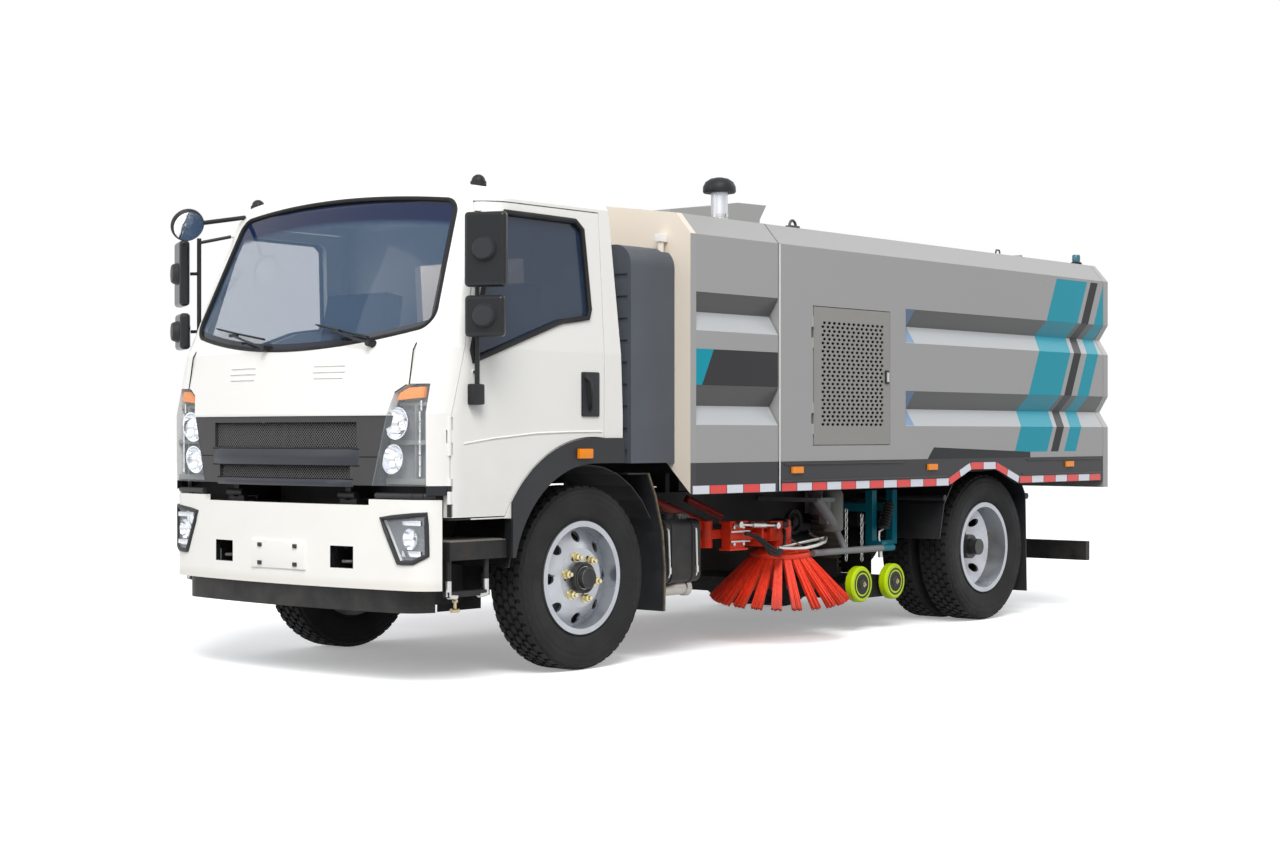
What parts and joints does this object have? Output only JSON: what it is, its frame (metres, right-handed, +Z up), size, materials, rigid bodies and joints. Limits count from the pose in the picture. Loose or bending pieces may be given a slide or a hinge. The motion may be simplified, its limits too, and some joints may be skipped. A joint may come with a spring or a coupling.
{
  "type": "street sweeper truck",
  "caption": "Compact street sweeper truck with tilting cab, tipping hopper, side brooms on swinging arms and a wide suction nozzle on casters.",
  "frame": {"origin": "on the road under the middle of the overall length and width", "axes": "+X forward along the vehicle, +Y to its left, +Z up"},
  "size_m": [6.43, 2.5226, 2.619],
  "materials": {
    "cab_white": "gloss",
    "body_grey": "satin",
    "cream": "satin",
    "frame_black": "satin",
    "rim_silver": "satin",
    "tyre": "matte",
    "caster_lime": "matte",
    "black_plastic": "matte",
    "seat": "matte",
    "glass": "gloss",
    "lamp": "gloss",
    "amber": "gloss",
    "cast": "matte",
    "ram_steel": "satin",
    "bristle": "matte",
    "hose": "matte"
  },
  "bodies": {
    "chassis": {"frame_rails": "frame_black", "chassis_frame": "frame_black", "cab_hinges": "frame_black", "drivetrain": "cast", "front_axle": "cast", "rear_axle": "cast", "front_bumper": "body_grey", "chassis_lamps": "lamp", "underrun_guard": "frame_black", "cab_steps": "frame_black", "tanks": "frame_black", "exhaust": "cast", "mudguards": "black_plastic", "intake_duct": "black_plastic", "aux_front_wall": "cream", "aux_cover": "body_grey", "aux_engine": "cast", "lift_frame": "frame_black"},
    "cab": {"cab_shell": "cab_white", "cab_floor": "frame_black", "cab_front_panel": "cab_white", "windscreen": "glass", "grille": "black_plastic", "headlamps": "lamp", "cab_trims": "black_plastic", "cab_interior": "seat"},
    "hopper": {"hopper_shell": "body_grey", "hopper_floor": "frame_black", "roof_duct": "body_grey", "side_lamps": "amber"},
    "rear_door": {"tailgate": "body_grey"},
    "ram_barrel": {"tip_barrel": "frame_black"},
    "ram_rod": {"tip_rod": "ram_steel"},
    "track_rod": {"tie_rod": "frame_black"},
    "nozzle": {"suction_nozzle": "frame_black", "suction_hoses": "hose"},
    "cab_door_left": {"door_left": "cab_white", "door_glass_left": "glass"},
    "side_door_left": {"louvre_left": "cream"},
    "knuckle_left": {"knuckle_left": "cast"},
    "front_wheel_left": {"front_rim_left": "rim_silver", "front_tyre_left": "tyre"},
    "rear_wheels_left": {"rear_rims_left": "rim_silver", "rear_tyres_left": "tyre"},
    "broom_arm_left": {"broom_arm_left": "frame_black"},
    "broom_left": {"broom_left": "bristle"},
    "front_caster_left": {"front_caster_left": "caster_lime"},
    "rear_caster_left": {"rear_caster_left": "caster_lime"},
    "cab_door_right": {"door_right": "cab_white", "door_glass_right": "glass"},
    "side_door_right": {"louvre_right": "cream"},
    "knuckle_right": {"knuckle_right": "cast"},
    "front_wheel_right": {"front_rim_right": "rim_silver", "front_tyre_right": "tyre"},
    "rear_wheels_right": {"rear_rims_right": "rim_silver", "rear_tyres_right": "tyre"},
    "broom_arm_right": {"broom_arm_right": "frame_black"},
    "broom_right": {"broom_right": "bristle"},
    "front_caster_right": {"front_caster_right": "caster_lime"},
    "rear_caster_right": {"rear_caster_right": "caster_lime"}
  },
  "joints": [
    {"name": "cab_tilt", "type": "hinge", "parent": "chassis", "child": "cab", "pos_m": [3.135, 0, 0.905], "axis": [0, 1, 0], "range_deg": [0, 45]},
    {"name": "track_rod_eye", "type": "hinge", "parent": "knuckle_left", "child": "track_rod", "pos_m": [1.805, 0.72, 0.388], "axis": [0, 0, 1], "range_deg": [-35, 35]},
    {"name": "hopper_tip", "type": "hinge", "parent": "chassis", "child": "hopper", "pos_m": [-2.975, 0, 0.9], "axis": [0, -1, 0], "range_deg": [0, 45]},
    {"name": "rear_door_hinge", "type": "hinge", "parent": "hopper", "child": "rear_door", "pos_m": [-3.147, 0, 2.469], "axis": [0, 1, 0], "range_deg": [0, 80]},
    {"name": "ram_foot", "type": "hinge", "parent": "chassis", "child": "ram_barrel", "pos_m": [-2, 0, 0.7], "axis": [0, -1, 0], "range_deg": [0, 63]},
    {"name": "ram_stroke", "type": "slide", "parent": "ram_barrel", "child": "ram_rod", "axis": [0.9732, 0, 0.23], "range_m": [0, 0.65]},
    {"name": "nozzle_lift", "type": "slide", "parent": "chassis", "child": "nozzle", "axis": [0, 0, 1], "range_m": [-0.17, 0], "deforming": ["suction_hoses"]},
    {"name": "steer_left", "type": "hinge", "parent": "chassis", "child": "knuckle_left", "pos_m": [2.035, 0.72, 0.47], "axis": [0, 0, 1], "range_deg": [-35, 35]},
    {"name": "front_wheel_spin_left", "type": "hinge", "parent": "knuckle_left", "child": "front_wheel_left", "pos_m": [2.035, 0.87, 0.47], "axis": [0, 1, 0], "continuous": true},
    {"name": "rear_wheel_spin_left", "type": "hinge", "parent": "chassis", "child": "rear_wheels_left", "pos_m": [-1.765, 0.795, 0.47], "axis": [0, 1, 0], "continuous": true},
    {"name": "cab_door_hinge_left", "type": "hinge", "parent": "cab", "child": "cab_door_left", "pos_m": [3.029, 1.024, 1.5], "axis": [0, 0, -1], "range_deg": [0, 70]},
    {"name": "side_door_hinge_left", "type": "hinge", "parent": "hopper", "child": "side_door_left", "pos_m": [0.287, 1.1455, 1.5], "axis": [0, 0, -1], "range_deg": [0, 100]},
    {"name": "broom_swing_left", "type": "hinge", "parent": "chassis", "child": "broom_arm_left", "pos_m": [0.825, 0.8, 0.64], "axis": [0, 0, -1], "range_deg": [0, 35]},
    {"name": "broom_spin_left", "type": "hinge", "parent": "broom_arm_left", "child": "broom_left", "pos_m": [0.171, 0.83, 0.51], "axis": [0.0616, 0.0616, 0.9962], "continuous": true},
    {"name": "front_caster_spin_left", "type": "hinge", "parent": "nozzle", "child": "front_caster_left", "pos_m": [-0.522, 0.905, 0.292], "axis": [0, 1, 0], "continuous": true},
    {"name": "rear_caster_spin_left", "type": "hinge", "parent": "nozzle", "child": "rear_caster_left", "pos_m": [-0.88, 0.905, 0.292], "axis": [0, 1, 0], "continuous": true},
    {"name": "steer_right", "type": "hinge", "parent": "chassis", "child": "knuckle_right", "pos_m": [2.035, -0.72, 0.47], "axis": [0, 0, 1], "range_deg": [-35, 35]},
    {"name": "front_wheel_spin_right", "type": "hinge", "parent": "knuckle_right", "child": "front_wheel_right", "pos_m": [2.035, -0.87, 0.47], "axis": [0, 1, 0], "continuous": true},
    {"name": "rear_wheel_spin_right", "type": "hinge", "parent": "chassis", "child": "rear_wheels_right", "pos_m": [-1.765, -0.795, 0.47], "axis": [0, 1, 0], "continuous": true},
    {"name": "cab_door_hinge_right", "type": "hinge", "parent": "cab", "child": "cab_door_right", "pos_m": [3.029, -1.024, 1.5], "axis": [0, 0, 1], "range_deg": [0, 70]},
    {"name": "side_door_hinge_right", "type": "hinge", "parent": "hopper", "child": "side_door_right", "pos_m": [0.287, -1.1455, 1.5], "axis": [0, 0, 1], "range_deg": [0, 100]},
    {"name": "broom_swing_right", "type": "hinge", "parent": "chassis", "child": "broom_arm_right", "pos_m": [0.825, -0.8, 0.64], "axis": [0, 0, 1], "range_deg": [0, 35]},
    {"name": "broom_spin_right", "type": "hinge", "parent": "broom_arm_right", "child": "broom_right", "pos_m": [0.171, -0.83, 0.51], "axis": [0.0616, -0.0616, 0.9962], "continuous": true},
    {"name": "front_caster_spin_right", "type": "hinge", "parent": "nozzle", "child": "front_caster_right", "pos_m": [-0.522, -0.905, 0.292], "axis": [0, 1, 0], "continuous": true},
    {"name": "rear_caster_spin_right", "type": "hinge", "parent": "nozzle", "child": "rear_caster_right", "pos_m": [-0.88, -0.905, 0.292], "axis": [0, 1, 0], "continuous": true}
  ],
  "couplings": [
    {"joint": "steer_right", "follows": "steer_left", "ratio": 1},
    {"joint": "track_rod_eye", "follows": "steer_left", "ratio": -1},
    {"joint": "ram_foot", "follows": "hopper_tip", "ratio": 1.378},
    {"joint": "ram_stroke", "follows": "hopper_tip", "m_per_rad": 0.8123}
  ]
}
